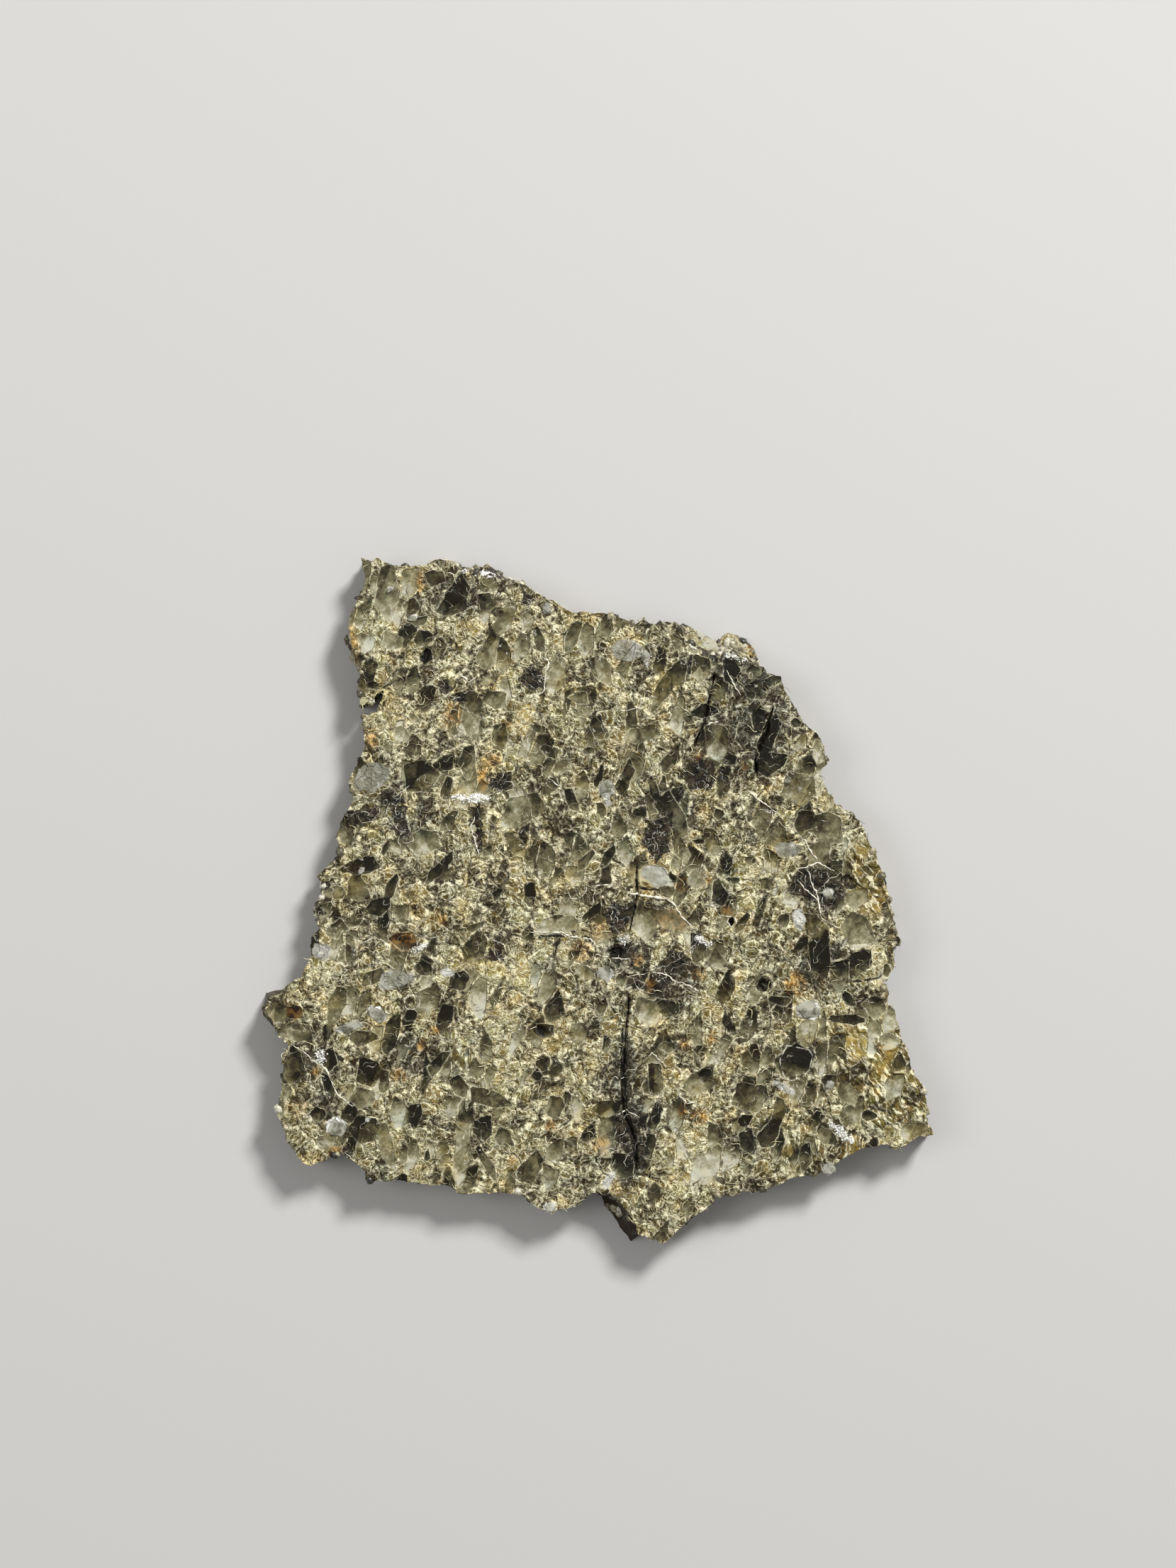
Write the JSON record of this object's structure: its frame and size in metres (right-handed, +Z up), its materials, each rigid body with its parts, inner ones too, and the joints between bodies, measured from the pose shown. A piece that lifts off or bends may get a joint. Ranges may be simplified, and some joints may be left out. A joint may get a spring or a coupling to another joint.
{
  "type": "martian meteorite slice",
  "caption": "Thin sawn slice of a martian shergottite with a broken rim: khaki crackled grains, grey glassy laths, open cracks and rust spots on a flat face.",
  "frame": {"origin": "under the middle of the bounding box, on the plane of the flat underside", "axes": "+Z up out of the sawn face, through the thickness; +Y towards the spiked corner at the picture's top; +X to the picture's right"},
  "size_m": [0.0216, 0.022, 0.0012],
  "materials": {
    "stone": "sawn khaki and grey stone, part crackled and dull, part glassy"
  },
  "bodies": {
    "root": {"meteorite_slice": "stone"}
  },
  "joints": []
}
